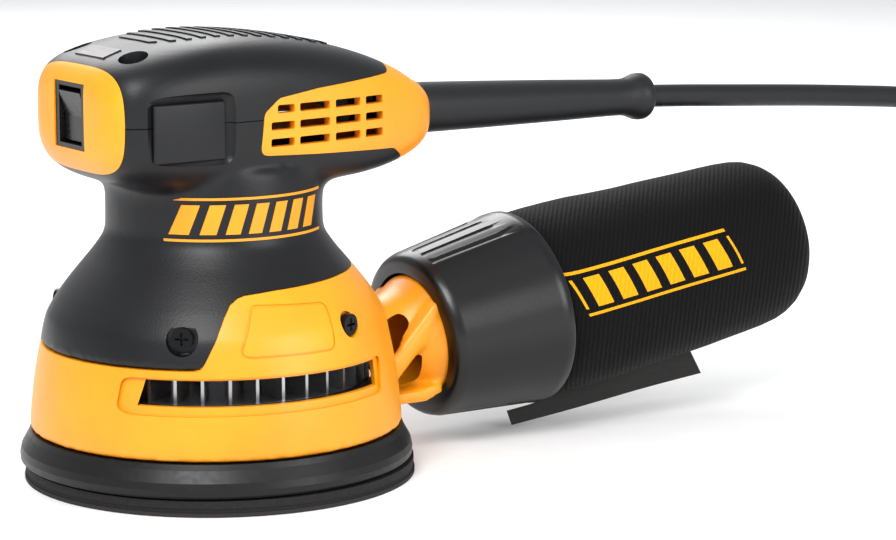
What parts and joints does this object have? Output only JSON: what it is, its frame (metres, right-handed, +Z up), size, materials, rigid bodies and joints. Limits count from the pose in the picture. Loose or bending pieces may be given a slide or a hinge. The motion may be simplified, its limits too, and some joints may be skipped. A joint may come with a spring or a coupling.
{
  "type": "random orbital sander",
  "caption": "Palm-grip random orbital sander with a round hook-and-loop pad, rocker switch, twist-on cloth dust bag and mains lead",
  "frame": {"origin": "on the motor axis at the sanding face", "axes": "+Z up along the motor axis; +X towards the lead and the dust bag; -X towards the switch"},
  "size_m": [0.5501, 0.1726, 0.1432],
  "materials": {
    "yellow_nylon": "satin moulded",
    "grip_rubber": "satin overmould",
    "black_plastic": "moulded",
    "skirt_rubber": "smooth",
    "zinc_steel": "zinc plated",
    "bearing_steel": "ground",
    "cast_aluminium": "as cast",
    "electrical_steel": "laminated",
    "copper_wire": "enamelled",
    "contact_brass": "rolled",
    "carbon": "pressed",
    "pad_foam": "fine cell",
    "hook_tape": "hooks",
    "abrasive": "grit",
    "bag_cloth": "twill",
    "label_cloth": "woven",
    "cord_jacket": "matt",
    "wire_insulation": "smooth",
    "blank_label": "foil"
  },
  "bodies": {
    "housing": {"motor_housing": "grip_rubber", "top_cover": "grip_rubber", "front_cap": "yellow_nylon", "vent_cap": "yellow_nylon", "palm_pad": "grip_rubber", "finger_pads": "grip_rubber", "badge_plate": "blank_label", "shroud": "yellow_nylon", "brake_skirt": "skirt_rubber", "fan_baffle": "black_plastic", "bearing_bracket": "cast_aluminium", "lower_bearing": "bearing_steel", "motor_field": "electrical_steel", "field_windings": "copper_wire", "field_screws": "zinc_steel", "brush_holders": "contact_brass", "brush_spring_left": "zinc_steel", "brush_spring_right": "zinc_steel", "upper_bearing": "bearing_steel", "bearing_boot": "skirt_rubber", "switch_body": "black_plastic", "switch_bezel": "black_plastic", "switch_terminals": "contact_brass", "lead_wires": "wire_insulation", "cord_clamp": "black_plastic", "clamp_screws": "zinc_steel", "cord_inner": "cord_jacket", "strain_relief": "skirt_rubber", "handle_screws": "zinc_steel", "shroud_screws": "zinc_steel", "bell_screws": "zinc_steel", "cord_lead": "cord_jacket", "cord_coil": "cord_jacket", "cord_tie": "cord_jacket", "plug_body": "cord_jacket", "plug_blades": "contact_brass"},
    "rotor": {"armature_shaft": "zinc_steel", "armature_core": "electrical_steel", "armature_windings": "copper_wire", "commutator": "copper_wire", "fan": "cast_aluminium", "counterweight": "cast_aluminium", "pad_bearing": "bearing_steel"},
    "pad": {"pad_spindle": "zinc_steel", "pad_plate": "black_plastic", "pad_foam": "pad_foam", "hook_layer": "hook_tape", "sanding_disc": "abrasive", "pad_screws": "zinc_steel"},
    "rocker": {"rocker": "black_plastic"},
    "bag": {"bag_neck": "black_plastic", "neck_seal": "skirt_rubber", "bag_clamp_band": "zinc_steel", "bag_cloth": "bag_cloth", "bag_label": "label_cloth"},
    "collar": {"lock_collar": "black_plastic"},
    "brush_left": {"brush_left": "carbon"},
    "brush_right": {"brush_right": "carbon"}
  },
  "joints": [
    {"name": "motor_spin", "type": "hinge", "parent": "housing", "child": "rotor", "pos_m": [0, 0, 0.05], "axis": [0, 0, 1], "continuous": true},
    {"name": "pad_spin", "type": "hinge", "parent": "rotor", "child": "pad", "pos_m": [0.0012, 0, 0.02], "axis": [0, 0, 1], "continuous": true},
    {"name": "switch_rocker", "type": "hinge", "parent": "housing", "child": "rocker", "pos_m": [-0.0464, 0, 0.1187], "axis": [0, 1, 0], "range_deg": [0, 16]},
    {"name": "bag_slide", "type": "slide", "parent": "housing", "child": "bag", "axis": [0.9917, 0, 0.1288], "range_m": [0, 0.045]},
    {"name": "collar_twist", "type": "hinge", "parent": "bag", "child": "collar", "pos_m": [0.078, 0, 0.036], "axis": [0.9917, 0, 0.1288], "range_deg": [0, 25]},
    {"name": "brush_left_slide", "type": "slide", "parent": "housing", "child": "brush_left", "axis": [0, -1, 0], "range_m": [0, 0.003], "stiffness_N_per_m": 300, "springref_m": -0.006, "deforming": ["brush_spring_left"]},
    {"name": "brush_right_slide", "type": "slide", "parent": "housing", "child": "brush_right", "axis": [0, 1, 0], "range_m": [0, 0.003], "stiffness_N_per_m": 300, "springref_m": -0.006, "deforming": ["brush_spring_right"]}
  ]
}
